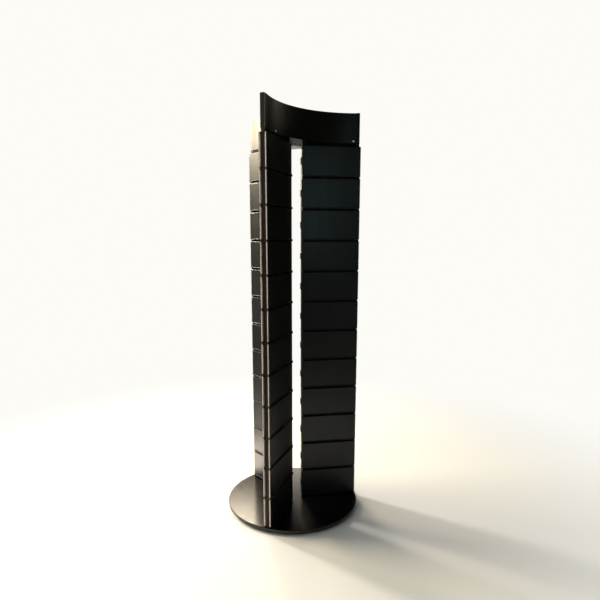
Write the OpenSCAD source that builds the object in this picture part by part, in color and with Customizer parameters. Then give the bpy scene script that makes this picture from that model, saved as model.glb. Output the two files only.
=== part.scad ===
// Rotating display rack with three double-sided slatted wings on a round turntable.
// Origin at the centre of the footprint, on the floor. +Z points up, wing a points along -Y.
// All sizes are in millimetres.

/* [Floor plate and feet] */
// Radius of the steel floor plate
plate_r = 289; // [280:1:294]
// Thickness of the steel floor plate
plate_t = 8; // [5:0.5:12]
// Radius of one rubber foot
foot_r = 20; // [14:1:26]
// Height of one rubber foot
foot_h = 3; // [2:0.5:6]
// Number of rubber feet
foot_count = 6; // [4:1:8]
// Radius of the circle that the feet stand on
foot_ring_r = 262; // [220:1:266]

/* [Turntable deck] */
// Radius of the spun steel deck
deck_r = 300; // [298:1:330]
// Height of the deck from the bottom of its rim to its top
deck_h = 10; // [8:0.5:16]
// Thickness of the deck's top
deck_top = 4; // [3.5:0.5:5]
// Thickness of the deck's rim
deck_rim = 2.5; // [1.5:0.25:4]
// Radius of the rounded top edge of the deck
deck_edge_r = 2; // [1:0.5:3]
// Free height between the floor plate and the deck's rim
deck_gap = 6; // [5:0.5:9]

/* [Ball bearing] */
// Radius of the circle that the ball centres run on
race_r = 141; // [120:1:150]
// Radius of one bearing ball
ball_r = 4; // [3:0.25:4]
// Number of bearing balls
ball_count = 24; // [16:1:30]
// Radial width of each bearing ring
ring_w = 20; // [16:1:26]
// Radial gap between the two bearing rings
ring_gap = 2.4; // [2.2:0.1:3]
// Free space between a ball and each groove
ball_clear = 0.15; // [0.1:0.05:0.3]
// Height that a turning ring stays clear of the fixed faces
ring_lift = 0.6; // [0.4:0.1:1]
// Number of screws in each bearing ring
ring_screws = 6; // [4:1:8]

/* [Wings] */
// Number of slats on each face of a wing
rows = 12; // [6:1:14]
// Height from one slat to the next
row_pitch = 132.2; // [110:0.1:150]
// Height of the open groove between two slats
groove_h = 8; // [6:0.5:14]
// Free height under the lowest slat
slat_lift = 5; // [3:0.5:12]
// Distance from the axis to the inner end of the slats
slat_in = 41; // [38:1:60]
// Distance from the axis to the outer end of the slats
slat_out = 296; // [270:1:296]
// Thickness of the slat sheet
sheet_t = 1.2; // [0.8:0.1:1.5]
// Depth of the folded slat trays
slat_depth = 7.5; // [7:0.5:14]
// Outer radius of the bend at the top of a slat
bend_r = 3.4; // [2:0.2:4]
// Distance that the hemmed lip stands out from the slat
lip_out = 4; // [2.5:0.5:8]
// Height of the hemmed lip
lip_h = 3; // [3:0.1:4]
// Width of the square posts and rails
post_w = 16; // [14:1:24]
// Wall thickness of the posts and rails
post_wall = 1.5; // [1.2:0.1:2.5]
// Distance from the outer end of the slats back to the tip post
tip_recess = 5; // [3:0.5:10]
// Thickness of the centre sheet between the two faces
web_t = 1; // [0.8:0.1:2]
// Height of the flat bar on top of each wing
fin_h = 22; // [18:1:40]
// Thickness of the flat bar on top of each wing
fin_t = 3; // [2:0.5:4]
// Distance that the top rail stands above the slats
rail_rise = 11.6; // [6:0.2:13]

/* [Slat fittings] */
// Thickness of the end trims that close the slats
trim_t = 2; // [1:0.25:3]
// Depth of the plug behind an end trim
trim_plug = 7; // [4:0.5:10]
// Distance from the tip post to the near edge of an end trim
trim_gap = 2; // [0:0.25:3]
// Length along a groove of the stop at each of its ends
stop_w = 5; // [3:0.5:12]
// Distance that the stops at the tip lie behind the face of the slats
stop_back = 2.5; // [1:0.5:5]
// Height of one slat clip
clip_h = 29; // [16:1:50]
// Distance that a clip stands out from the inner post
clip_out = 4.4; // [3:0.1:8]
// Thickness of the arms of a clip
clip_arm_t = 1.6; // [1:0.1:2.5]
// Length of the arms of a clip
clip_arm = 12; // [6:0.5:14]

/* [Header] */
// Height of the header sheets
header_h = 121; // [60:1:200]
// Thickness of the header sheets
header_t = 2; // [1:0.25:3]
// Free height between the top rail and the header sheets
header_gap = 2; // [1:0.5:12]
// Least distance from the axis to the middle of a header sheet
header_in = 64; // [62:1:90]
// Distance from the bend at the tip post to the header screw of one side
screw_near = 10; // [9:1:20]
// Distance from the bend at the tip post to the header screw of the other side
screw_far = 86; // [60:1:110]
// Height of the header screws above the lower edge of the sheets
screw_rise = 8; // [6:1:12]
// Radius of the shank of a header screw
screw_r = 2; // [1.5:0.25:2.5]

/* [Top hub] */
// Height of the six-sided hub that ties the wings
hub_h = 37; // [28:1:60]
// Thickness of the walls and the floor of the hub
hub_wall = 2.5; // [1.5:0.25:4]
// Distance from the top of the top rails down to the lower edge of the hub
hub_drop = 21; // [12:1:25]
// Radius of the two plain holes in each open side of the hub
hub_hole_r = 4; // [2:0.5:4]
// Height of the plain holes above the lower edge of the hub
hub_hole_rise = 8.5; // [8.5:0.5:12]
// Distance of each plain hole from the middle of its side
hub_hole_side = 12; // [6:1:15]

/* [Hidden] */
$fn = 48;
big_fn = 180;
wing_count = 3;
wing_step = 360 / wing_count;
wing_a = -90;
wing_b = wing_a + wing_step;
wing_c = wing_b + wing_step;
wings = [wing_a, wing_b, wing_c];
half_step = wing_step / 2;
hub_sides = 2 * wing_count;
right = 1;
left = -1;

// Heights
plate_top = foot_h + plate_t;
rim_z = plate_top + deck_gap;
deck_z = rim_z + deck_h;
deck_under = deck_z - deck_top;
slat_h = row_pitch - groove_h;
slats_top = deck_z + slat_lift + rows * row_pitch - groove_h;
rail_top = slats_top + rail_rise;
header_z = rail_top + header_gap;
header_top = header_z + header_h;
hub_z = rail_top - hub_drop;
hub_top = hub_z + hub_h;

// Places across and along a wing
half_post = post_w / 2;
half_wing = half_post + slat_depth;
inner_face = slat_in + post_w;
tip_face = slat_out - tip_recess;
tip_in = tip_face - post_w;
slat_end = slat_out - trim_t;
post_mid = (slat_in + inner_face) / 2;
tip_mid = (tip_in + tip_face) / 2;

// Bearing
ring_h = deck_under - plate_top - ring_lift;
ball_z = (plate_top + deck_under) / 2;
groove_r = ball_r + ball_clear;
lower_in = race_r + ring_gap / 2;
upper_out = race_r - ring_gap / 2;
cage_clear = 0.3;
cage_t = ring_gap - 2 * cage_clear;
cage_h = ring_h - 2 * ring_lift;
pocket_r = ball_r + cage_clear;
ring_screw_r = 2;
ring_screw_head_r = 4;
ring_screw_bite = 3;
tip_clear = 0.2;
ring_screw_share = 0.6;
socket_share = 0.75;
socket_depth_share = 0.6;
lower_screw_at = lower_in + ring_w * ring_screw_share;
upper_screw_at = upper_out - ring_w * ring_screw_share;

// Fasteners and plugs
bolt_r = 3;
bolt_head_r = 5;
bolt_head_h = 3.5;
bolt_bite = 14;
plug_h = 20;
cap_t = 1;
cap_step = 1;
cap_rise = 0.8;
plug_clear = 0.1;
stop_clear = 0.2;
stop_soft = 1.2;
hole_clear = 0.1;
clip_soft = 1.5;
clip_merge = 0.01;
trim_soft = 1;
foot_turn = wing_b;

// Arc of the header sheets, in the frame of one open side
seat = half_post + header_t / 2;
bend_at = tip_in - 2;
arc_x = bend_at * cos(half_step) + seat * sin(half_step);
arc_y = bend_at * sin(half_step) - seat * cos(half_step);
arc_sag = arc_x - header_in;
arc_r = (arc_y * arc_y + arc_sag * arc_sag) / (2 * arc_sag);
arc_mid = header_in + arc_r;
arc_half = asin(arc_y / arc_r);
spacer_wall = 2.5;
spacer_r = screw_r + spacer_wall;
head_r = screw_r * 2;
head_h = screw_r;
knuckle_pull = 0.3;
knuckle_swell = 0.15;
knuckle_r = header_t / 2 + knuckle_swell;
header_fixings = [[screw_near, right], [screw_far, left]];

// Angle around the arc centre of a point that lies a given length from the bend at the tip post
function arc_at(length) = arc_half - length / arc_r * 180 / PI;

// Distance from the middle of a wing to the header sheet at that angle
function arc_off(angle) = let (x = arc_mid - arc_r * cos(angle), y = arc_r * sin(angle))
    x * sin(half_step) - y * cos(half_step);

// Distance from the axis, measured along the wing, at that angle
function arc_out(angle) = let (x = arc_mid - arc_r * cos(angle), y = arc_r * sin(angle))
    x * cos(half_step) + y * sin(half_step);

// Angle between the header sheet and the wing at that angle
function arc_tilt(angle) = abs(angle + half_step - 90);

// Room that a round face needs to lie flat beside the tilted sheet
function arc_room(angle, r) = header_t / 2 + r * tan(arc_tilt(angle));

// Ring with a square section
module tube_ring(r_in, r_out, h) {
    difference() {
        cylinder(r = r_out, h = h, $fn = big_fn);
        translate([0, 0, -1]) cylinder(r = r_in, h = h + 2, $fn = big_fn);
    }
}

// Places the children evenly around the axis at one radius
module around(count, r, start = 0) {
    for (i = [0 : count - 1]) {
        rotate(start + i * 360 / count) translate([r, 0, 0]) children();
    }
}

// Countersunk screw with its flat head at z = 0 and its tip downwards
module flat_screw(r, r_head, length) {
    difference() {
        union() {
            translate([0, 0, -length]) cylinder(r = r, h = length);
            translate([0, 0, r - r_head]) cylinder(r1 = r, r2 = r_head, h = r_head - r);
        }
        translate([0, 0, -socket_depth_share * r]) cylinder(r = r * socket_share, h = r, $fn = 6);
    }
}

// Pan-head screw that points along +Z, with the seat of its head at z = 0
module pan_screw(r, r_head, h_head, length) {
    difference() {
        union() {
            cylinder(r = r, h = length);
            translate([0, 0, -h_head]) cylinder(r = r_head, h = h_head);
        }
        translate([0, 0, -h_head - 1])
            cylinder(r = r * socket_share, h = 1 + h_head * socket_depth_share, $fn = 6);
    }
}

// Square tube that stands on z = 0
module square_tube(h) {
    difference() {
        translate([-half_post, -half_post, 0]) cube([post_w, post_w, h]);
        translate([-half_post + post_wall, -half_post + post_wall, -1])
            cube([post_w - 2 * post_wall, post_w - 2 * post_wall, h + 2]);
    }
}

// Frame of one wing: +X runs outwards, +Y is the right face seen from outside
module on_wing(angle) {
    rotate(angle) children();
}

module floor_plate() color([0.09, 0.09, 0.1]) {
    difference() {
        union() {
            translate([0, 0, foot_h]) cylinder(r = plate_r, h = plate_t - 1, $fn = big_fn);
            translate([0, 0, plate_top - 1]) cylinder(r1 = plate_r, r2 = plate_r - 1, h = 1, $fn = big_fn);
        }
        around(ring_screws, lower_screw_at) translate([0, 0, foot_h - 1])
            cylinder(r = ring_screw_r + hole_clear, h = plate_t + 2);
    }
}

module rubber_feet() color([0.05, 0.05, 0.05]) {
    around(foot_count, foot_ring_r, foot_turn) {
        cylinder(r1 = foot_r - 1, r2 = foot_r, h = foot_h / 2);
        translate([0, 0, foot_h / 2]) cylinder(r = foot_r, h = foot_h / 2);
    }
}

// Screw that holds the fixed ring, through the ring and into the floor plate
module lower_ring_screws() color([0.7, 0.71, 0.73]) {
    around(ring_screws, lower_screw_at) translate([0, 0, plate_top + ring_h])
        flat_screw(ring_screw_r, ring_screw_head_r, ring_h + plate_t - 1);
}

module bearing_lower_ring() color([0.62, 0.63, 0.66]) {
    difference() {
        translate([0, 0, plate_top]) tube_ring(lower_in, lower_in + ring_w, ring_h);
        race_groove();
        around(ring_screws, lower_screw_at) ring_screw_hole(plate_top + ring_h, right);
    }
}

module bearing_upper_ring() color([0.62, 0.63, 0.66]) {
    difference() {
        translate([0, 0, deck_under - ring_h]) tube_ring(upper_out - ring_w, upper_out, ring_h);
        race_groove();
        around(ring_screws, upper_screw_at) ring_screw_hole(deck_under - ring_h, left);
    }
}

// Ball groove shared by the two rings
module race_groove() {
    translate([0, 0, ball_z]) rotate_extrude($fn = big_fn)
        translate([race_r, 0]) circle(r = groove_r);
}

// Countersunk hole whose wide mouth is at height z and opens up or down
module ring_screw_hole(z, way) {
    translate([0, 0, z]) mirror([0, 0, way > 0 ? 0 : 1]) {
        translate([0, 0, -ring_h - 1]) cylinder(r = ring_screw_r + hole_clear, h = ring_h + 2);
        translate([0, 0, ring_screw_r - ring_screw_head_r])
            cylinder(r1 = ring_screw_r + hole_clear, r2 = ring_screw_head_r + hole_clear,
                h = ring_screw_head_r - ring_screw_r);
    }
}

module ball_cage() color([0.85, 0.82, 0.7]) {
    difference() {
        translate([0, 0, ball_z - cage_h / 2])
            tube_ring(race_r - cage_t / 2, race_r + cage_t / 2, cage_h);
        around(ball_count, race_r) translate([-cage_t, 0, ball_z]) rotate([0, 90, 0])
            cylinder(r = pocket_r, h = 2 * cage_t);
    }
}

module bearing_balls() color([0.8, 0.81, 0.83]) {
    around(ball_count, race_r) translate([0, 0, ball_z]) sphere(r = ball_r);
}

// Screw that holds the turning ring, upwards into blind holes in the deck
module upper_ring_screws() color([0.7, 0.71, 0.73]) {
    around(ring_screws, upper_screw_at) translate([0, 0, deck_under - ring_h]) mirror([0, 0, 1])
        flat_screw(ring_screw_r, ring_screw_head_r, ring_h + ring_screw_bite);
}

// Section of the deck: flat top, rounded edge and turned-down rim
module deck_section() {
    difference() {
        union() {
            translate([0, deck_under]) square([deck_r - deck_edge_r, deck_top]);
            translate([0, rim_z]) square([deck_r, deck_h - deck_edge_r]);
            translate([deck_r - deck_edge_r, deck_z - deck_edge_r]) circle(r = deck_edge_r);
        }
        translate([-1, rim_z - 1]) square([deck_r - deck_rim + 1, deck_h - deck_top + 1]);
    }
}

module turntable_deck() color([0.1, 0.1, 0.1]) {
    difference() {
        rotate_extrude($fn = big_fn) deck_section();
        around(ring_screws, upper_screw_at) translate([0, 0, deck_under - 1])
            cylinder(r = ring_screw_r + hole_clear, h = 1 + ring_screw_bite + tip_clear);
        for (a = wings) {
            for (r = [post_mid, tip_mid]) {
                on_wing(a) translate([r, 0, deck_under - 1])
                    cylinder(r = bolt_r + hole_clear, h = deck_top + 2);
            }
        }
    }
}

// Bolts that hold the posts from under the deck
module deck_bolts() color([0.6, 0.61, 0.63]) {
    for (a = wings) {
        for (r = [post_mid, tip_mid]) {
            on_wing(a) translate([r, 0, deck_under])
                pan_screw(bolt_r, bolt_head_r, bolt_head_h, deck_top + bolt_bite);
        }
    }
}

// Tapped blocks in the foot of every post
module post_foot_plugs() color([0.35, 0.35, 0.36]) {
    side = post_w - 2 * post_wall - 2 * plug_clear;
    for (a = wings) {
        for (r = [post_mid, tip_mid]) {
            on_wing(a) translate([r, 0, deck_z]) difference() {
                translate([-side / 2, -side / 2, 0]) cube([side, side, plug_h]);
                translate([0, 0, -1]) cylinder(r = bolt_r + hole_clear, h = bolt_bite + 2);
            }
        }
    }
}

// Plastic plugs that close the tip posts above the header
module post_top_plugs() color([0.08, 0.08, 0.08]) {
    side = post_w - 2 * post_wall - 2 * plug_clear;
    for (a = wings) {
        on_wing(a) translate([tip_mid, 0, header_top]) {
            translate([-half_post, -half_post, 0]) cube([post_w, post_w, cap_t]);
            translate([cap_step - half_post, cap_step - half_post, cap_t])
                cube([post_w - 2 * cap_step, post_w - 2 * cap_step, cap_rise]);
            translate([-side / 2, -side / 2, -plug_h / 2]) cube([side, side, plug_h / 2]);
        }
    }
}

module inner_post(angle) color([0.09, 0.09, 0.09]) {
    on_wing(angle) difference() {
        translate([post_mid, 0, deck_z]) square_tube(hub_top - deck_z);
        translate([slat_in - 1, 0, (hub_z + hub_top) / 2]) rotate([0, 90, 0])
            cylinder(r = screw_r + hole_clear, h = post_wall + 2);
    }
}

module tip_post(angle) color([0.09, 0.09, 0.09]) {
    on_wing(angle) translate([tip_mid, 0, deck_z]) square_tube(header_top - deck_z);
}

// Rail between the two posts, standing on height z
module rail(angle, z) color([0.09, 0.09, 0.09]) {
    on_wing(angle) translate([inner_face, 0, z + half_post]) rotate([0, 90, 0])
        square_tube(tip_in - inner_face);
}

module web_sheet(angle) color([0.12, 0.12, 0.12]) {
    low = deck_z + post_w;
    on_wing(angle) translate([inner_face, -web_t / 2, low])
        cube([tip_in - inner_face, web_t, rail_top - post_w - low]);
}

// Flat bar on the top rail that carries the header screws
module header_fin(angle) color([0.09, 0.09, 0.09]) {
    on_wing(angle) difference() {
        translate([inner_face, -fin_t / 2, rail_top]) cube([tip_in - inner_face, fin_t, fin_h]);
        for (place = [screw_near, screw_far]) {
            translate([arc_out(arc_at(place)), fin_t, header_z + screw_rise]) rotate([90, 0, 0])
                cylinder(r = screw_r + hole_clear, h = 2 * fin_t);
        }
    }
}

// Section of one slat: u runs out from the middle of the wing, v runs up
module slat_section() {
    nose = half_wing + lip_out - lip_h / 2;
    translate([half_wing - sheet_t, lip_h - sheet_t]) square([sheet_t, slat_h - lip_h + sheet_t - bend_r]);
    translate([half_post, slat_h - sheet_t]) square([slat_depth - bend_r, sheet_t]);
    translate([half_wing - bend_r, slat_h - bend_r]) intersection() {
        difference() {
            circle(r = bend_r);
            circle(r = bend_r - sheet_t);
        }
        square(bend_r);
    }
    translate([half_post, 0]) square([nose - half_post, sheet_t]);
    translate([half_wing - sheet_t, lip_h - sheet_t]) square([nose - half_wing + sheet_t, sheet_t]);
    translate([nose, lip_h / 2]) intersection() {
        difference() {
            circle(r = lip_h / 2);
            circle(r = lip_h / 2 - sheet_t);
        }
        translate([0, -lip_h / 2]) square([lip_h / 2, lip_h]);
    }
}

// Places the children at the foot of every slat of one face
module each_slat() {
    for (i = [0 : rows - 1]) {
        translate([0, 0, deck_z + slat_lift + i * row_pitch]) children();
    }
}

module slats(angle, side) color([0.1, 0.1, 0.1]) {
    on_wing(angle) mirror([0, side > 0 ? 0 : 1, 0]) each_slat() {
        translate([slat_in, 0, 0]) rotate([90, 0, 90])
            linear_extrude(height = slat_end - slat_in) slat_section();
    }
}

// One end trim: pale plate over the end of a slat, with a plug inside the tray
module end_trim() {
    near = half_post + trim_gap;
    plug = half_wing - sheet_t - plug_clear - near;
    plug_v = slat_h - 2 * sheet_t - 2 * plug_clear;
    rotate([90, 0, 90]) {
        linear_extrude(height = trim_t) {
            translate([near, 0]) square([half_wing - near - trim_soft, slat_h]);
            translate([near, trim_soft]) square([half_wing - near, slat_h - 2 * trim_soft]);
            translate([half_wing - trim_soft, trim_soft]) circle(r = trim_soft);
            translate([half_wing - trim_soft, slat_h - trim_soft]) circle(r = trim_soft);
        }
        translate([near, sheet_t + plug_clear, -trim_plug]) cube([plug, plug_v - bend_r, trim_plug]);
    }
}

module slat_end_trims(angle) color([0.8, 0.77, 0.7]) {
    on_wing(angle) {
        for (side = [0, 1]) {
            mirror([0, side, 0]) each_slat() translate([slat_end, 0, 0]) end_trim();
        }
    }
}

// One spring clip round the inner post, with an arm in the tray on each side
module slat_clip() {
    nose_r = clip_out / 2;
    difference() {
        linear_extrude(height = clip_h) {
            translate([-clip_out + nose_r, -half_post - clip_arm_t])
                square([clip_out - nose_r, post_w + 2 * clip_arm_t]);
            translate([-clip_out, -half_post - clip_arm_t + nose_r])
                square([nose_r, post_w + 2 * clip_arm_t - 2 * nose_r]);
            for (side = [left, right]) {
                translate([-clip_out + nose_r, side * (half_post + clip_arm_t - nose_r)]) circle(r = nose_r);
                translate([-clip_merge, side > 0 ? half_post : -half_post - clip_arm_t])
                    square([clip_arm, clip_arm_t]);
            }
        }
        for (v = [0, clip_h]) {
            translate([-clip_out, -half_wing, v]) rotate([-90, 45, 0])
                translate([-clip_soft, -clip_soft, 0]) cube([2 * clip_soft, 2 * clip_soft, 2 * half_wing]);
        }
    }
}

module slat_clips(angle) color([0.07, 0.07, 0.07]) {
    on_wing(angle) each_slat() translate([slat_in, 0, (slat_h - clip_h) / 2]) slat_clip();
}

// Section of one groove stop, standing on the slat below and reaching out to reach
module stop_section(reach) {
    h = groove_h - stop_clear;
    polygon([[half_post, 0], [reach - stop_soft, 0], [reach, stop_soft], [reach, h - stop_soft],
        [reach - stop_soft, h], [half_post, h]]);
}

// One stop at each end of every groove of a wing, the inner one level with the lip
module groove_stops(angle) color([0.06, 0.06, 0.06]) {
    on_wing(angle) {
        for (side = [0, 1], i = [1 : rows - 1]) {
            mirror([0, side, 0]) translate([0, 0, deck_z + slat_lift + i * row_pitch - groove_h]) {
                translate([slat_in, 0, 0]) rotate([90, 0, 90])
                    linear_extrude(height = stop_w) stop_section(half_wing + lip_out);
                translate([slat_end - stop_w, 0, 0]) rotate([90, 0, 90])
                    linear_extrude(height = stop_w) stop_section(half_wing - stop_back);
            }
        }
    }
}

// Plan of the curved stretch of one header sheet, in the frame of an open side
module header_arc() {
    ends = arc_at(knuckle_pull);
    far = 2 * arc_r;
    intersection() {
        translate([arc_mid, 0]) difference() {
            circle(r = arc_r + header_t / 2, $fn = 2 * big_fn);
            circle(r = arc_r - header_t / 2, $fn = 2 * big_fn);
        }
        polygon([[arc_mid, 0], [arc_mid - far * cos(ends), far * sin(ends)],
            [-far, 0], [arc_mid - far * cos(ends), -far * sin(ends)]]);
    }
}

// One header sheet: a curved stretch with a knuckle and a flat end on each tip post
module header_panel(angle) color([0.04, 0.04, 0.04]) {
    rotate(angle) difference() {
        translate([0, 0, header_z]) union() {
            linear_extrude(height = header_h) header_arc();
            for (side = [0, 1]) {
                mirror([0, side, 0]) rotate(half_step) {
                    translate([bend_at, -seat, knuckle_pull])
                        cylinder(r = knuckle_r, h = header_h - 2 * knuckle_pull);
                    translate([bend_at + knuckle_pull, -half_post - header_t, 0])
                        cube([tip_face - bend_at - knuckle_pull, header_t, header_h]);
                }
            }
        }
        for (s = header_fixings) {
            at_header_screw(s) translate([0, 0, -header_t - 1])
                cylinder(r = screw_r + hole_clear, h = 2 * header_t + 2);
        }
    }
}

// Frame of one header screw: +Z runs from the middle of the sheet to the fin
module at_header_screw(s) {
    angle = arc_at(s[0]);
    rotate(s[1] * half_step) translate([arc_out(angle), -s[1] * arc_off(angle), header_z + screw_rise])
        rotate([-s[1] * 90, 0, 0]) children();
}

module header_screws() color([0.85, 0.86, 0.88]) {
    for (a = wings) {
        rotate(a + half_step) for (s = header_fixings) {
            angle = arc_at(s[0]);
            room = arc_room(angle, head_r);
            at_header_screw(s) translate([0, 0, -room])
                pan_screw(screw_r, head_r, head_h, room + arc_off(angle) + fin_t / 2 + 1);
        }
    }
}

// Short tubes between the header sheets and the fins
module header_spacers() color([0.5, 0.5, 0.52]) {
    for (a = wings) {
        rotate(a + half_step) for (s = header_fixings) {
            angle = arc_at(s[0]);
            room = arc_room(angle, spacer_r);
            gap = arc_off(angle) - fin_t / 2 - room;
            at_header_screw(s) translate([0, 0, room]) difference() {
                cylinder(r = spacer_r, h = gap);
                translate([0, 0, -1]) cylinder(r = screw_r + hole_clear, h = gap + 2);
            }
        }
    }
}

// Cutter for one hole through the hub side that faces along a wing
module hub_hole(off, z, r) {
    translate([slat_in - 2 * hub_wall, off, z]) rotate([0, 90, 0]) cylinder(r = r, h = 3 * hub_wall);
}

// Six-sided cup: three sides lie on the inner posts, three face the open sides
module top_hub() color([0.45, 0.46, 0.45]) {
    to_corner = 180 / hub_sides;
    corner_r = slat_in / cos(to_corner);
    difference() {
        translate([0, 0, hub_z]) cylinder(r = corner_r, h = hub_h, $fn = hub_sides);
        translate([0, 0, hub_z + hub_wall])
            cylinder(r = corner_r - hub_wall / cos(to_corner), h = hub_h, $fn = hub_sides);
        for (a = wings) {
            on_wing(a) hub_hole(0, (hub_z + hub_top) / 2, screw_r + hole_clear);
            for (side = [left, right]) {
                on_wing(a + half_step) hub_hole(side * hub_hole_side, hub_z + hub_hole_rise, hub_hole_r);
            }
        }
    }
}

// Screws from inside the hub into the inner posts
module hub_screws() color([0.7, 0.71, 0.73]) {
    for (a = wings) {
        on_wing(a) translate([slat_in - hub_wall, 0, (hub_z + hub_top) / 2]) rotate([0, 90, 0])
            pan_screw(screw_r, head_r, head_h, hub_wall + post_wall + 3);
    }
}

floor_plate();
rubber_feet();
bearing_lower_ring();
lower_ring_screws();
ball_cage();
bearing_balls();
bearing_upper_ring();
upper_ring_screws();
turntable_deck();
deck_bolts();
post_foot_plugs();
post_top_plugs();
inner_post(wing_a);  // inner_post_a
inner_post(wing_b);  // inner_post_b
inner_post(wing_c);  // inner_post_c
tip_post(wing_a);  // tip_post_a
tip_post(wing_b);  // tip_post_b
tip_post(wing_c);  // tip_post_c
rail(wing_a, deck_z);  // bottom_rail_a
rail(wing_b, deck_z);  // bottom_rail_b
rail(wing_c, deck_z);  // bottom_rail_c
rail(wing_a, rail_top - post_w);  // top_rail_a
rail(wing_b, rail_top - post_w);  // top_rail_b
rail(wing_c, rail_top - post_w);  // top_rail_c
web_sheet(wing_a);  // web_sheet_a
web_sheet(wing_b);  // web_sheet_b
web_sheet(wing_c);  // web_sheet_c
header_fin(wing_a);  // header_fin_a
header_fin(wing_b);  // header_fin_b
header_fin(wing_c);  // header_fin_c
slats(wing_a, left);  // slats_a_left
slats(wing_a, right);  // slats_a_right
slats(wing_b, left);  // slats_b_left
slats(wing_b, right);  // slats_b_right
slats(wing_c, left);  // slats_c_left
slats(wing_c, right);  // slats_c_right
slat_end_trims(wing_a);  // slat_end_trims_a
slat_end_trims(wing_b);  // slat_end_trims_b
slat_end_trims(wing_c);  // slat_end_trims_c
slat_clips(wing_a);  // slat_clips_a
slat_clips(wing_b);  // slat_clips_b
slat_clips(wing_c);  // slat_clips_c
groove_stops(wing_a);  // groove_stops_a
groove_stops(wing_b);  // groove_stops_b
groove_stops(wing_c);  // groove_stops_c
header_panel(wing_a + wing_step / 2);  // header_panel_ab
header_panel(wing_b + wing_step / 2);  // header_panel_bc
header_panel(wing_c + wing_step / 2);  // header_panel_ca
header_screws();
header_spacers();
top_hub();
hub_screws();
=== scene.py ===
import math
import bmesh
import bpy
from mathutils import Matrix, Vector


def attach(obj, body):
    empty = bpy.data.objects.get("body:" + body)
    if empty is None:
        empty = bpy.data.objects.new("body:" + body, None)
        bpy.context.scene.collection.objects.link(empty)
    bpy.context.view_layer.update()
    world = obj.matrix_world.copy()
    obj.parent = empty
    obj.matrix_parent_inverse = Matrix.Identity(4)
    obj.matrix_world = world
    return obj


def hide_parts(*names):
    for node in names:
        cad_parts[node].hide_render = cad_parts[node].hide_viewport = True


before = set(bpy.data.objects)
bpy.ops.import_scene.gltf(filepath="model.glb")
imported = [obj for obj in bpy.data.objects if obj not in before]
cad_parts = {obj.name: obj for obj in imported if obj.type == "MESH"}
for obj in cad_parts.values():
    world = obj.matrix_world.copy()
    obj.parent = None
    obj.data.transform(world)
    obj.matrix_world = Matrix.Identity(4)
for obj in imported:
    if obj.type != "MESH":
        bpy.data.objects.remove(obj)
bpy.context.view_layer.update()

scene = bpy.context.scene
scene.view_settings.view_transform = "Standard"
print("frame loaded")

# Camera, as the photograph was taken
camera = dict(
    spot=(0.8179, -2.0944, 1.2223),
    heading=20.35,  # degrees, anticlockwise from +Y
    pitch=-10.415,
    lens=30.66,
    sensor=36,
    shift=(-0.0014, 0.0556),
    reach=100,  # metres that the camera sees
)


def makeCamera(c):
    data = bpy.data.cameras.new("photoCamera")
    data.sensor_width = c["sensor"]
    data.lens = c["lens"]
    data.shift_x, data.shift_y = c["shift"]
    data.clip_end = c["reach"]
    cam = bpy.data.objects.new("photoCamera", data)
    cam.location = c["spot"]
    cam.rotation_euler = (math.radians(90 + c["pitch"]), 0, math.radians(c["heading"]))
    scene.collection.objects.link(cam)
    scene.camera = cam


makeCamera(camera)
print("camera set")


# Short ways to add the nodes that the studio and the finishes share
def newNode(tree, kind, **values):
    node = tree.nodes.new(kind)
    for key, value in values.items():
        setattr(node, key, value)
    return node


def span(tree, value, fromLow, fromHigh, toLow=0.0, toHigh=1.0, curve="LINEAR"):
    node = newNode(tree, "ShaderNodeMapRange", interpolation_type=curve)
    limits = {"From Min": fromLow, "From Max": fromHigh, "To Min": toLow, "To Max": toHigh}
    for name, number in limits.items():
        node.inputs[name].default_value = number
    tree.links.new(value, node.inputs["Value"])
    return node.outputs["Result"]


def math2(tree, operation, first, second, clamp=True):
    node = newNode(tree, "ShaderNodeMath", operation=operation, use_clamp=clamp)
    for socket, value in zip(node.inputs, (first, second)):
        if isinstance(value, (int, float)):
            socket.default_value = value
        else:
            tree.links.new(value, socket)
    return node.outputs[0]


def mixShaders(tree, factor, first, second):
    node = newNode(tree, "ShaderNodeMixShader")
    tree.links.new(factor, node.inputs["Fac"])
    tree.links.new(first.outputs[0], node.inputs[1])
    tree.links.new(second.outputs[0], node.inputs[2])
    return node


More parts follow.
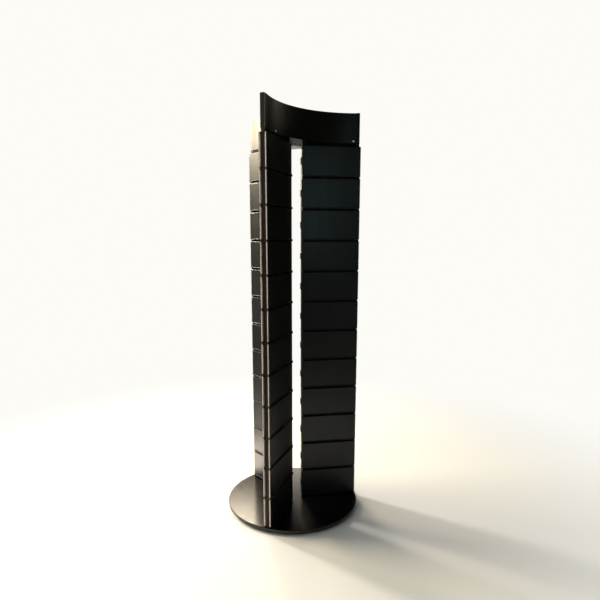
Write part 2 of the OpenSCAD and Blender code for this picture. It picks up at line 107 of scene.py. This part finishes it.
# Floor, surroundings and lamps
studio = dict(
    floorColour=(0.765, 0.755, 0.705),
    floorRough=0.6,
    floorRadius=9,
    floorSides=96,
    fadeStart=0.7,  # metres from the rack, where the floor starts to fade into the backdrop
    fadeEnd=2.4,
    seen=(0.975, 0.965, 0.925),  # what the camera and clear pieces see of the room
    ambient=(0.92, 0.94, 0.96),
    ambientLevel=1.75,
    brightSide=(-0.97, 0.26, 0.0),  # where the daylight comes from
    darkSide=0.08,  # share of the level that is left on the far side of the room
    sideSpan=(-0.1, 0.95),
    glossColour=(0.33, 0.29, 0.22),  # the room as the gloss sees it
    ceiling=(0.28, 0.42),  # heights, as the sine, between which the gloss of the room turns dark
    ceilingShare=0.02,
    glossFloor=(0.16, 0.10),  # the far floor as the gloss sees it, on the bright and on the dark side
    glossFloorSpan=(-1.5, 0.5),  # metres across, between the two
)
lamps = dict(
    sunLamp=dict(  # low sun that draws the shadow
        spot=(-3.71, 0.925, 3.5), aim=(0, 0, 0.5), size=(0.42, 0.26),
        power=118, colour=(1.0, 0.95, 0.86)),
    windowLamp=dict(
        spot=(-2.4, 0.85, 2.6), aim=(0, 0, 0.6), size=(1.1, 1.8),
        power=24, colour=(1.0, 0.92, 0.80)),
    headerLamp=dict(  # the pale left header and the slats below it
        spot=(-3.0, -0.5, 2.5), aim=(-0.2, 0.1, 1.68), size=(1.3, 0.8),
        power=137, colour=(1.0, 0.86, 0.61)),
    floorGlow=dict(  # sunlit floor, as the lowest slats on the left mirror it
        spot=(-0.57, 0.02, 0.012), aim=(-0.57, 0.02, 1.0), size=(0.42, 0.8),
        power=6, colour=(1.0, 0.86, 0.72)),
    deckLamp=dict(  # the bright left half of the deck
        spot=(-1.62, 2.2, 2.1), aim=(-0.15, 0, 0), size=(0.8, 0.9),
        power=46, colour=(1.0, 0.85, 0.65)),
    sillLamp=dict(  # the deck seen between the wings
        spot=(-0.85, 2.3, 0.98), aim=(0, 0.1, 0.03), size=(0.5, 0.36),
        power=2.4, colour=(1.0, 0.89, 0.77)),
    frontLamp=dict(
        spot=(-0.8, -3.6, 2.4), aim=(0, 0, 0.9), size=(1.6, 1.2),
        power=16, colour=(1.0, 0.97, 0.92)),
    tealLamp=dict(  # the cool sheen on the upper slats of the right wing
        spot=(2.0, -2.27, 1.60), aim=(0.03, 0.02, 1.42), size=(0.35, 0.9),
        power=1.5, colour=(0.60, 0.95, 1.0)),
    sideLamp=dict(  # the front header
        spot=(1.5, 1.8, 2.55), aim=(0, -0.2, 1.68), size=(0.6, 0.4),
        power=1.4, colour=(1.0, 0.95, 0.72)),
)


def makeWorld(s):
    world = bpy.data.worlds.new("studioWorld")
    world.use_nodes = True
    tree = world.node_tree
    tree.nodes.clear()

    def background(colour, strength=None):
        node = newNode(tree, "ShaderNodeBackground")
        node.inputs["Color"].default_value = (*colour, 1)
        if strength:
            tree.links.new(strength, node.inputs["Strength"])
        return node

    place = newNode(tree, "ShaderNodeTexCoord").outputs["Generated"]
    side = newNode(tree, "ShaderNodeVectorMath", operation="DOT_PRODUCT")
    side.inputs[1].default_value = s["brightSide"]
    tree.links.new(place, side.inputs[0])
    level = span(tree, side.outputs["Value"], *s["sideSpan"], s["darkSide"], 1.0, "SMOOTHSTEP")
    height = newNode(tree, "ShaderNodeSeparateXYZ")
    tree.links.new(place, height.inputs[0])
    overhead = span(tree, height.outputs["Z"], *s["ceiling"], 1.0, s["ceilingShare"], "SMOOTHSTEP")
    light = background(s["ambient"], math2(tree, "MULTIPLY", level, s["ambientLevel"], clamp=False))
    gloss = background(s["glossColour"], math2(tree, "MULTIPLY", level, overhead, clamp=False))
    rays = newNode(tree, "ShaderNodeLightPath").outputs
    clear = math2(tree, "MAXIMUM", rays["Is Camera Ray"], rays["Is Transmission Ray"])
    room = mixShaders(tree, rays["Is Glossy Ray"], light, gloss)
    result = mixShaders(tree, clear, room, background(s["seen"]))
    tree.links.new(result.outputs[0], newNode(tree, "ShaderNodeOutputWorld").inputs["Surface"])
    scene.world = world


def makeFloor(s):
    mesh = bpy.data.meshes.new("floor")
    sheet = bmesh.new()
    bmesh.ops.create_circle(sheet, cap_ends=True, segments=s["floorSides"], radius=s["floorRadius"])
    sheet.to_mesh(mesh)
    sheet.free()
    floor = bpy.data.objects.new("floor", mesh)
    scene.collection.objects.link(floor)
    mat = bpy.data.materials.new("floorPaint")
    mat.use_nodes = True
    tree = mat.node_tree
    paint = tree.nodes["Principled BSDF"]
    paint.inputs["Base Color"].default_value = (*s["floorColour"], 1)
    paint.inputs["Roughness"].default_value = s["floorRough"]
    place = newNode(tree, "ShaderNodeTexCoord").outputs["Object"]
    away = newNode(tree, "ShaderNodeVectorMath", operation="LENGTH")
    tree.links.new(place, away.inputs[0])
    fade = span(tree, away.outputs["Value"], s["fadeStart"], s["fadeEnd"], curve="SMOOTHSTEP")
    rays = newNode(tree, "ShaderNodeLightPath").outputs
    glossOrCamera = math2(tree, "MAXIMUM", rays["Is Camera Ray"], rays["Is Glossy Ray"])
    seenRay = math2(tree, "MAXIMUM", glossOrCamera, rays["Is Transmission Ray"])
    across = newNode(tree, "ShaderNodeSeparateXYZ")
    tree.links.new(place, across.inputs[0])
    glossSide = span(tree, across.outputs["X"], *s["glossFloorSpan"], *s["glossFloor"], "SMOOTHSTEP")
    glowLevel = newNode(tree, "ShaderNodeMix")  # full for the camera, dimmer for the gloss
    glowLevel.inputs["A"].default_value = 1.0
    tree.links.new(rays["Is Glossy Ray"], glowLevel.inputs["Factor"])
    tree.links.new(glossSide, glowLevel.inputs["B"])
    glow = newNode(tree, "ShaderNodeEmission")
    glow.inputs["Color"].default_value = (*s["seen"], 1)
    tree.links.new(glowLevel.outputs["Result"], glow.inputs["Strength"])
    result = mixShaders(tree, math2(tree, "MULTIPLY", fade, seenRay), paint, glow)
    tree.links.new(result.outputs[0], tree.nodes["Material Output"].inputs["Surface"])
    mesh.materials.append(mat)


def makeLamp(name, values):
    data = bpy.data.lights.new(name, "AREA")
    data.shape = "RECTANGLE"
    data.size, data.size_y = values["size"]
    data.energy = values["power"]
    data.color = values["colour"]
    lamp = bpy.data.objects.new(name, data)
    lamp.location = values["spot"]
    aim = Vector(values["aim"]) - Vector(values["spot"])
    lamp.rotation_euler = aim.to_track_quat("-Z", "Y").to_euler()
    lamp.visible_camera = False
    scene.collection.objects.link(lamp)


makeWorld(studio)
makeFloor(studio)
for name, lamp in lamps.items():
    makeLamp(name, lamp)
print("studio set")

# Finishes: what a user would change for each surface
finishes = dict(
    slatCoat=dict(
        colour=(0.0040, 0.0046, 0.0046), rough=0.31, grain=1100, grainDepth=0.00003, cloud=0.25,
        worn=(0.10, 0.095, 0.085), wornEdge=0.0007, streak=0.03, spec=0.45),
    frameCoat=dict(
        colour=(0.0150, 0.0068, 0.0042), rough=0.42, grain=1000, grainDepth=0.00003, cloud=0.25,
        worn=(0.10, 0.09, 0.08), wornEdge=0.0006, streak=0.05, spec=0.18),
    headerCoat=dict(
        colour=(0.0022, 0.0022, 0.0017), rough=0.32, grain=1300, grainDepth=0.00002, cloud=0.20,
        worn=(0.06, 0.055, 0.05), wornEdge=0.0006, streak=0.04, spec=0.5),
    deckEnamel=dict(
        colour=(0.0009, 0.0007, 0.0005), rough=0.20, grain=900, grainDepth=0.000004, cloud=0.15,
        # the pale worn colour is edge wear and partly a painted highlight along the deck's rounded rim
        worn=(0.40, 0.37, 0.32), wornEdge=0.0010, streak=0.02, spec=0.45),
    # painted shade: a darker, duller copy of the black coat, for the top rails and header fins in the shaded
    # band under the headers
    shadedBandCoat=dict(
        colour=(0.0015, 0.0013, 0.0010), rough=0.62, grain=1100, grainDepth=0.00003, cloud=0.20,
        worn=(0.05, 0.045, 0.04), wornEdge=0.0006, streak=0.04, spec=0.12),
    plateSteel=dict(
        colour=(0.012, 0.012, 0.012), rough=0.45, grain=900, grainDepth=0.00003, cloud=0.3,
        worn=(0.12, 0.11, 0.10), wornEdge=0.0008, streak=0.08, spec=0.5),
    zincGrey=dict(
        colour=(0.21, 0.215, 0.20), rough=0.40, grain=800, grainDepth=0.00003, cloud=0.35,
        worn=(0.35, 0.35, 0.34), wornEdge=0.0006, streak=0.12, spec=0.5),
    rubber=dict(
        colour=(0.012, 0.012, 0.012), rough=0.82, grain=1500, grainDepth=0.00006, cloud=0.3,
        worn=(0.05, 0.05, 0.05), wornEdge=0.0005, streak=0.0, spec=0.3),
    blackPlastic=dict(
        colour=(0.010, 0.010, 0.010), rough=0.50, grain=1600, grainDepth=0.00004, cloud=0.2,
        worn=(0.06, 0.06, 0.06), wornEdge=0.0004, streak=0.05, spec=0.5),
    cageNylon=dict(
        colour=(0.55, 0.50, 0.36), rough=0.48, grain=1200, grainDepth=0.00003, cloud=0.25,
        worn=(0.65, 0.62, 0.50), wornEdge=0.0004, streak=0.05, spec=0.5),
)
coatLook = dict(  # what all coats share
    cloudScale=7.0, cloudSpan=(0.35, 0.65),
    paleGain=2, paleLift=0.0004,  # how much paler the patches of cloud are, by share and by a step
    rubScale=160.0, rubSpan=(0.45, 0.7),  # where the edges are worn
    streakScale=30.0, streakStretch=(1.0, 1.0, 0.12), streakSpan=(0.3, 0.7),
    smudgeScale=18.0, smudgeSpan=(0.4, 0.7),
    bump=0.6,
)
metals = dict(
    paleTrim=dict(
        colour=(1.0, 0.91, 0.82), rough=0.36,
        brush=(900, 900, 12), brushDepth=0.00002, tone=0.08, metal=0.1,
        rim=0.0043),  # width of the dark border, painted shade for the shaded recess beside the trims
    zincScrew=dict(
        colour=(0.60, 0.60, 0.58), rough=0.32,
        brush=(700, 700, 700), brushDepth=0.00002, tone=0.15, metal=1.0),
    # painted highlight: near-white and only partly metal, so the domed heads show as bright glints under any
    # light
    glintWhiteScrew=dict(
        colour=(0.98, 0.96, 0.93), rough=0.24,
        brush=(900, 900, 900), brushDepth=0.00001, tone=0.06, metal=0.45),
    turnedRing=dict(
        colour=(0.58, 0.59, 0.60), rough=0.36,
        brush=(40, 40, 1800), brushDepth=0.00002, tone=0.12, metal=1.0),
    ballSteel=dict(
        colour=(0.78, 0.79, 0.80), rough=0.12,
        brush=(300, 300, 300), brushDepth=0.00001, tone=0.05, metal=1.0),
)
metalLook = dict(  # what all metals share
    toneSpan=(0.3, 0.7),
    stainScale=25.0, stainSpan=(0.35, 0.75),
    # painted shade for the borders of the pale trims
    rimColour=(0.004, 0.0035, 0.003), rimSpan=(0.06, 0.16),
    roughSpan=(0.2, 0.8), smoother=0.07, rougher=0.09,  # how far the grain moves the roughness
    edge=0.0004,
    bump=0.5,
)
edgeLook = dict(samples=6, sharp=0.82)  # how far a rounded normal has turned on a sharp edge


def startMaterial(name):
    mat = bpy.data.materials.new(name)
    mat.use_nodes = True
    tree = mat.node_tree
    place = newNode(tree, "ShaderNodeTexCoord")
    return mat, tree, place.outputs["Object"], tree.nodes["Principled BSDF"]


def noise(tree, place, scale, detail, stretch=None):
    texture = newNode(tree, "ShaderNodeTexNoise")
    texture.inputs["Scale"].default_value = scale
    texture.inputs["Detail"].default_value = detail
    if stretch:
        mapping = newNode(tree, "ShaderNodeMapping")
        mapping.inputs["Scale"].default_value = stretch
        tree.links.new(place, mapping.inputs["Vector"])
        place = mapping.outputs["Vector"]
    tree.links.new(place, texture.inputs["Vector"])
    return texture.outputs["Fac"]


def blend(tree, factor, low, high):
    node = newNode(tree, "ShaderNodeMix", data_type="RGBA")
    tree.links.new(factor, node.inputs["Factor"])
    for socket, value in ((node.inputs["A"], low), (node.inputs["B"], high)):
        if isinstance(value, tuple):
            socket.default_value = (*value, 1)
        else:
            tree.links.new(value, socket)
    return node.outputs["Result"]


def roundedNormal(tree, radius):
    bevel = newNode(tree, "ShaderNodeBevel", samples=edgeLook["samples"])
    bevel.inputs["Radius"].default_value = radius
    return bevel.outputs["Normal"]


def edgeMask(tree, rounded):  # 1 on sharp edges, 0 on flat faces
    geometry = newNode(tree, "ShaderNodeNewGeometry")
    dot = newNode(tree, "ShaderNodeVectorMath", operation="DOT_PRODUCT")
    tree.links.new(rounded, dot.inputs[0])
    tree.links.new(geometry.outputs["Normal"], dot.inputs[1])
    return span(tree, dot.outputs["Value"], 1.0, edgeLook["sharp"])


def addBump(tree, shader, height, depth, strength, rounded):
    bump = newNode(tree, "ShaderNodeBump")
    bump.inputs["Strength"].default_value = strength
    bump.inputs["Distance"].default_value = depth
    tree.links.new(height, bump.inputs["Height"])
    tree.links.new(rounded, bump.inputs["Normal"])
    tree.links.new(bump.outputs["Normal"], shader.inputs["Normal"])


def coatMaterial(name, f, look):
    mat, tree, place, shader = startMaterial(name)
    patch = span(tree, noise(tree, place, look["cloudScale"], detail=4.0), *look["cloudSpan"])
    pale = tuple(min(1, c * (1 + look["paleGain"] * f["cloud"]) + look["paleLift"]) for c in f["colour"])
    base = blend(tree, patch, f["colour"], pale)
    rounded = roundedNormal(tree, f["wornEdge"])
    rub = span(tree, noise(tree, place, look["rubScale"], detail=2.0), *look["rubSpan"])
    wear = math2(tree, "MULTIPLY", edgeMask(tree, rounded), rub)
    tree.links.new(blend(tree, wear, base, f["worn"]), shader.inputs["Base Color"])
    streakNoise = noise(tree, place, look["streakScale"], detail=3.0, stretch=look["streakStretch"])
    streaks = span(tree, streakNoise, *look["streakSpan"], -f["streak"], f["streak"])
    smudgeNoise = noise(tree, place, look["smudgeScale"], detail=5.0)
    smudges = span(tree, smudgeNoise, *look["smudgeSpan"], 0.0, f["streak"])
    rough = math2(tree, "ADD", math2(tree, "ADD", streaks, f["rough"]), smudges)
    tree.links.new(rough, shader.inputs["Roughness"])
    grain = noise(tree, place, f["grain"], detail=2.0)
    addBump(tree, shader, grain, f["grainDepth"], look["bump"], rounded)
    shader.inputs["Specular IOR Level"].default_value = f["spec"]
    return mat


def metalMaterial(name, f, look):
    mat, tree, place, shader = startMaterial(name)
    grain = noise(tree, place, 1.0, detail=3.0, stretch=f["brush"])
    tone = span(tree, grain, *look["toneSpan"])
    dark = tuple(c * (1 - f["tone"]) for c in f["colour"])
    stain = span(tree, noise(tree, place, look["stainScale"], detail=4.0), *look["stainSpan"])
    base = blend(tree, tone, blend(tree, stain, f["colour"], dark), f["colour"])
    if "rim" in f:  # painted shade: a dark border round the pale plate, for the shaded recess where the trim meets the post
        paintedShadeRim = edgeMask(tree, roundedNormal(tree, f["rim"]))
        base = blend(tree, span(tree, paintedShadeRim, *look["rimSpan"]), base, look["rimColour"])
    tree.links.new(base, shader.inputs["Base Color"])
    rough = span(tree, grain, *look["roughSpan"], f["rough"] - look["smoother"], f["rough"] + look["rougher"])
    tree.links.new(rough, shader.inputs["Roughness"])
    addBump(tree, shader, grain, f["brushDepth"], look["bump"], roundedNormal(tree, look["edge"]))
    shader.inputs["Metallic"].default_value = f["metal"]
    return mat


materials = {name: coatMaterial(name, f, coatLook) for name, f in finishes.items()}
materials.update({name: metalMaterial(name, f, metalLook) for name, f in metals.items()})
print("finishes made")

# Which finish each piece wears, by the start of its name
wears = dict(
    floor_plate="plateSteel", rubber_feet="rubber", bearing_lower="turnedRing", bearing_upper="turnedRing",
    lower_ring_screws="zincScrew", upper_ring_screws="zincScrew", ball_cage="cageNylon",
    bearing_balls="ballSteel", turntable_deck="deckEnamel", deck_bolts="zincScrew",
    post_foot_plugs="plateSteel", post_top_plugs="blackPlastic", inner_post="frameCoat", tip_post="frameCoat",
    bottom_rail="frameCoat", top_rail="shadedBandCoat", web_sheet="frameCoat", header_fin="shadedBandCoat",
    slats_="slatCoat", slat_end_trims="paleTrim", slat_clips="blackPlastic", groove_stops="blackPlastic",
    header_panel="headerCoat", header_screws="glintWhiteScrew", header_spacers="zincScrew", top_hub="zincGrey",
    hub_screws="zincScrew",
)


def dress(nodeName, obj):
    finish = next(finish for start, finish in wears.items() if nodeName.startswith(start))
    obj.data.materials.clear()
    obj.data.materials.append(materials[finish])


for nodeName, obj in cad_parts.items():
    dress(nodeName, obj)
print("pieces dressed")

# Screws with domed heads, rolled threads and hexagon sockets, in place of the plain ones
domedScrews = dict(
    header_screws=dict(finish="glintWhiteScrew", slot="bright_screw", thread=0.0007, tip=0.6),
    hub_screws=dict(finish="zincScrew", slot="plated_screw", thread=0.0007, tip=0.6),
    deck_bolts=dict(finish="zincScrew", slot="plated_screw", thread=0.0010, tip=0.7),
)
screwForm = dict(
    sides=40,
    smooth=35,  # degrees; edges that turn more stay sharp
    threadCut=0.16,  # depth of the thread as a share of its pitch
    neck=0.0003,  # plain length under the head
    bevel=0.03,  # at the foot of the head, as a share of its radius
    skirt=0.25,  # share of the head's height that stands straight
    domeSteps=8,
    socketShare=0.38,  # size of the socket as a share of the head's radius
    socketMouth=1.18,  # its round mouth as a share of its size
    socketLip=0.06,  # depth of the mouth, and then of the whole socket, as shares of the head's height
    socketDepth=0.55,
    socketFloor=0.98,  # size of its floor as a share of its size
)
screwReading = dict(
    digits=6,  # points that are the same to so many decimals are one
    axisTurns=12,
    headShare=0.98,  # points this far out, as a share of the widest, are the head's
    shankFrom=0.25,  # the shank is measured from here on, as a share of its length
)


def islands(obj, digits):  # the loose solids of a CAD node, as lists of points
    mesh = obj.data
    spots = {}
    keys = [tuple(round(c, digits) for c in vertex.co) for vertex in mesh.vertices]
    home = [spots.setdefault(key, i) for i, key in enumerate(keys)]

    def root(i):
        while home[i] != i:
            home[i] = home[home[i]]
            i = home[i]
        return i

    for edge in mesh.edges:
        first, second = (root(i) for i in edge.vertices)
        home[first] = second
    groups = {}
    for i, vertex in enumerate(mesh.vertices):
        groups.setdefault(root(i), []).append(obj.matrix_world @ vertex.co)
    return list(groups.values())


def longAxis(points, middle, turns):  # direction in which a solid reaches furthest
    far = max(points, key=lambda p: (p - middle).length)
    axis = (far - middle).normalized()
    for turn in range(turns):
        total = Vector((0, 0, 0))
        for p in points:
            total += (p - middle) * (p - middle).dot(axis)
        axis = total.normalized()
    return axis


def readScrew(points, reading):  # seat, direction of the shank and the radii of one screw
    low = Vector(tuple(min(p[k] for p in points) for k in range(3)))
    high = Vector(tuple(max(p[k] for p in points) for k in range(3)))
    middle = (low + high) / 2
    axis = longAxis(points, middle, reading["axisTurns"])
    along = [(p - middle).dot(axis) for p in points]
    around = [((p - middle) - axis * a).length for p, a in zip(points, along)]
    headRadius = max(around)
    headAt = [a for a, r in zip(along, around) if r > reading["headShare"] * headRadius]
    if sum(headAt) > 0:  # the head lies at the low end
        axis = -axis
        along = [-a for a in along]
        headAt = [-a for a in headAt]
    top, seat, end = min(along), max(headAt), max(along)
    shankAt = seat + reading["shankFrom"] * (end - seat)
    shank = max(r for a, r in zip(along, around) if a > shankAt)
    return dict(seat=middle + axis * seat, axis=axis, headRadius=headRadius, headHeight=seat - top,
                shank=shank, length=end - seat)


def ringAt(sheet, place, radii, height):
    turns = [2 * math.pi * k / len(radii) for k in range(len(radii))]
    return [sheet.verts.new(place @ Vector((r * math.cos(a), r * math.sin(a), height)))
            for r, a in zip(radii, turns)]


def joinRings(sheet, first, second, sides):  # a ring of one point closes the form
    for k in range(sides):
        corners = [first[k % len(first)], first[(k + 1) % len(first)],
                   second[(k + 1) % len(second)], second[k % len(second)]]
        unique = list(dict.fromkeys(corners))
        if len(unique) > 2:
            sheet.faces.new(unique)


def screwProfile(s, kind, form):  # radius and height, from the tip to the mouth of the socket
    head, height, shank, length = s["headRadius"], s["headHeight"], s["shank"], s["length"]
    shoulder = length - shank * (1 - kind["tip"])
    pitch = kind["thread"]
    profile = [(0, length), (shank * kind["tip"], length), (shank, shoulder)]
    for k in range(int((length - shank) / pitch)):
        at = shoulder - (k + 0.5) * pitch
        profile += [(shank - pitch * form["threadCut"] * 2, at), (shank, at - pitch / 2)]
    profile += [(shank, form["neck"]), (shank, 0), (head * (1 - form["bevel"]), 0),
                (head, -form["bevel"] * head), (head, -form["skirt"] * height)]
    mouth = head * form["socketShare"] * form["socketMouth"]
    fullRise = math.sqrt(1 - (mouth / head) ** 2)
    for k in range(1, form["domeSteps"] + 1):
        radius = head + (mouth - head) * k / form["domeSteps"]
        rise = math.sqrt(max(0, 1 - (radius / head) ** 2)) / fullRise
        profile.append((radius, -height * (form["skirt"] + (1 - form["skirt"]) * rise)))
    return profile


def addScrew(sheet, s, kind, form):
    turn = s["axis"].to_track_quat("Z", "Y").to_matrix().to_4x4()
    place = Matrix.Translation(s["seat"]) @ turn
    sides = form["sides"]
    (_, end), *rest = screwProfile(s, kind, form)
    rings = [ringAt(sheet, place, [0], end)]
    rings += [ringAt(sheet, place, [radius] * sides, height) for radius, height in rest]
    socket = s["headRadius"] * form["socketShare"]
    sixth = math.pi / 3
    turns = (2 * math.pi * k / sides for k in range(sides))
    flats = [socket * math.cos(sixth / 2) / math.cos(a % sixth - sixth / 2) for a in turns]
    for depth, share in ((form["socketLip"], 1.0), (form["socketDepth"], form["socketFloor"])):
        rings.append(ringAt(sheet, place, [f * share for f in flats], (depth - 1) * s["headHeight"]))
    for first, second in zip(rings, rings[1:]):
        joinRings(sheet, first, second, sides)
    sheet.faces.new(rings[-1])


def pieceFromSheet(name, sheet, finish, slotName, body, *nodes):
    mesh = bpy.data.meshes.new(name)
    bmesh.ops.recalc_face_normals(sheet, faces=sheet.faces)
    for face in sheet.faces:
        face.smooth = True
    sharp = math.radians(screwForm["smooth"])
    for edge in sheet.edges:
        edge.smooth = len(edge.link_faces) != 2 or edge.calc_face_angle(0) < sharp
    sheet.to_mesh(mesh)
    sheet.free()
    piece = bpy.data.objects.new(name, mesh)
    scene.collection.objects.link(piece)
    mesh.materials.append(materials[finish])
    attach(piece, body)
    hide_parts(*nodes)


for node, kind in domedScrews.items():
    sheet = bmesh.new()
    for points in islands(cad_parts[node], screwReading["digits"]):
        addScrew(sheet, readScrew(points, screwReading), kind, screwForm)
    pieceFromSheet(node + "_domed", sheet, kind["finish"], kind["slot"], "turntable", node)
print("screws made")
